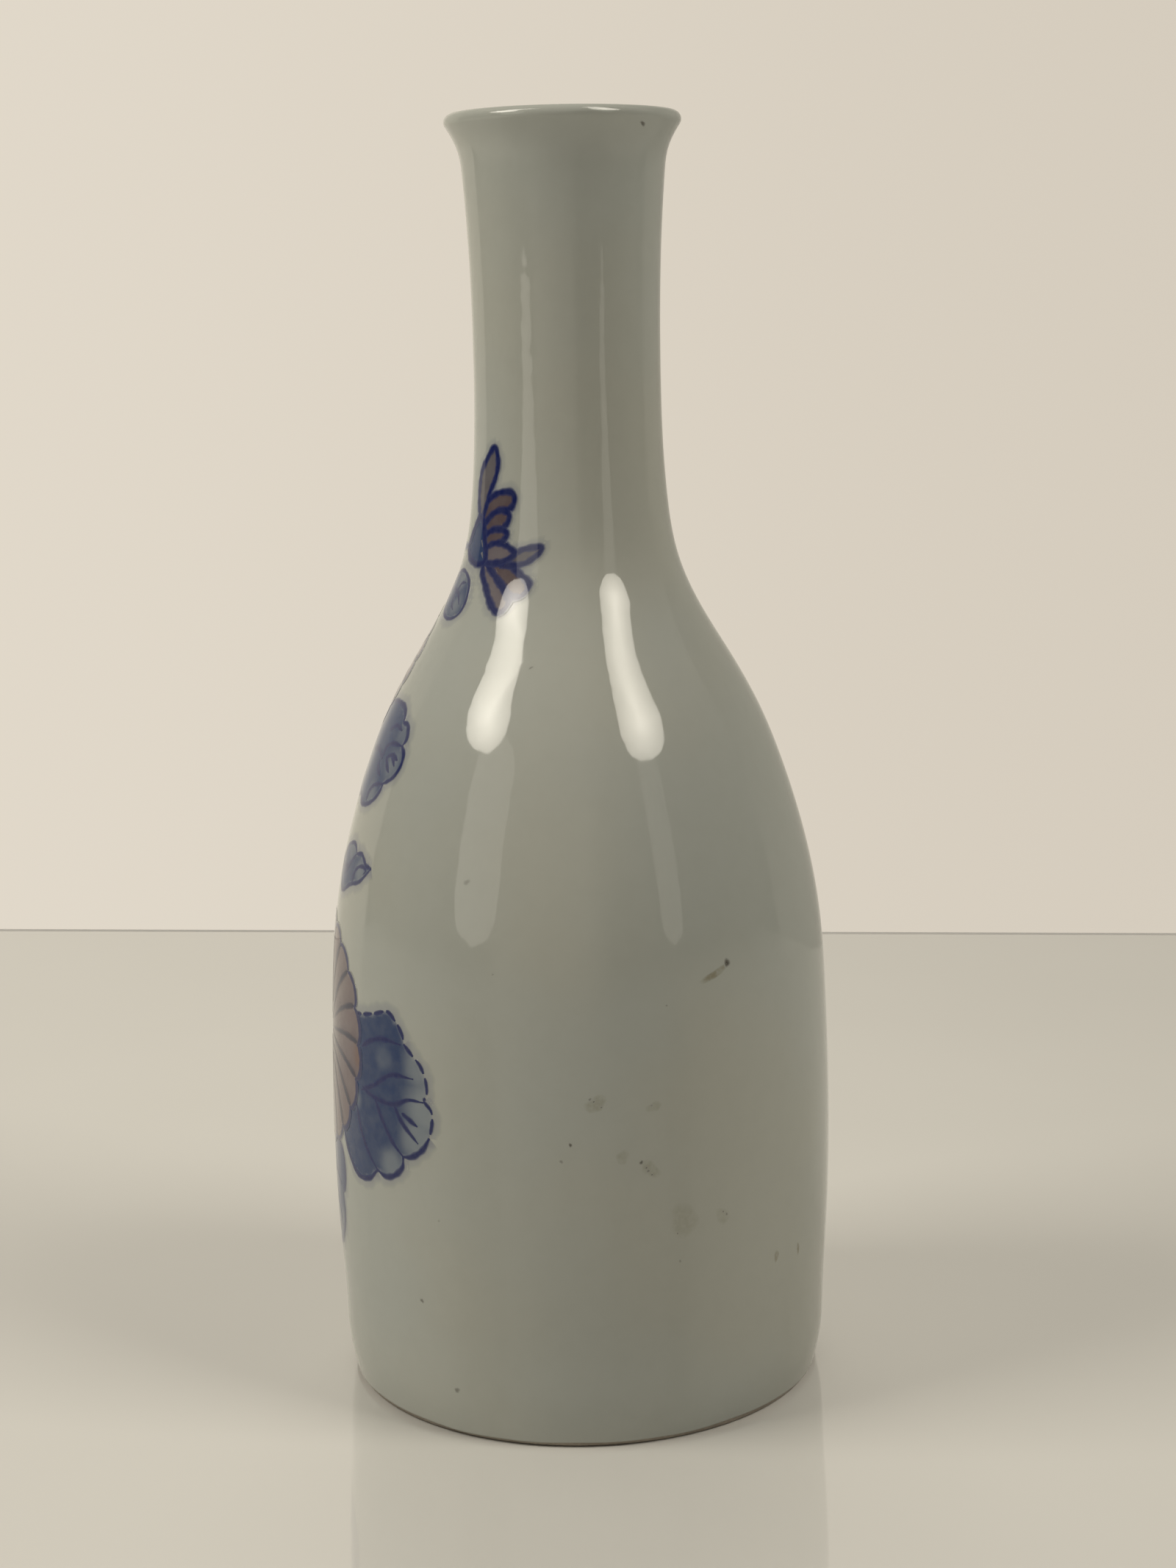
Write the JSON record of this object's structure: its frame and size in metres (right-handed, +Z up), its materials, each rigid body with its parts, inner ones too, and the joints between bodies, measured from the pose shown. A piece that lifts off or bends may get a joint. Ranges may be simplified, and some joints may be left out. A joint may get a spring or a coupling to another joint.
{
  "type": "sake bottle",
  "caption": "Porcelain sake serving bottle with a straight-sided rounded body, a slim neck, a flared lip and an underglaze flower spray on one side.",
  "frame": {"origin": "centre of the foot ring, on the surface that the bottle stands on", "axes": "+Z up along the axis of the bottle, -Y towards the plain side, -X towards the decorated side"},
  "size_m": [0.0632, 0.0632, 0.156],
  "materials": {
    "glazed_porcelain": "grey-green white porcelain under a clear glossy glaze with a few iron specks",
    "bare_porcelain": "fired clay without glaze on the ring of the foot, slightly rough",
    "cobalt_blue": "dark blue painted line and wash under the clear glaze",
    "petal_pink": "muted mauve pink wash under the clear glaze",
    "iron_rust": "rust orange accent under the clear glaze"
  },
  "bodies": {
    "root": {"bottle": "glazed_porcelain"}
  },
  "joints": []
}
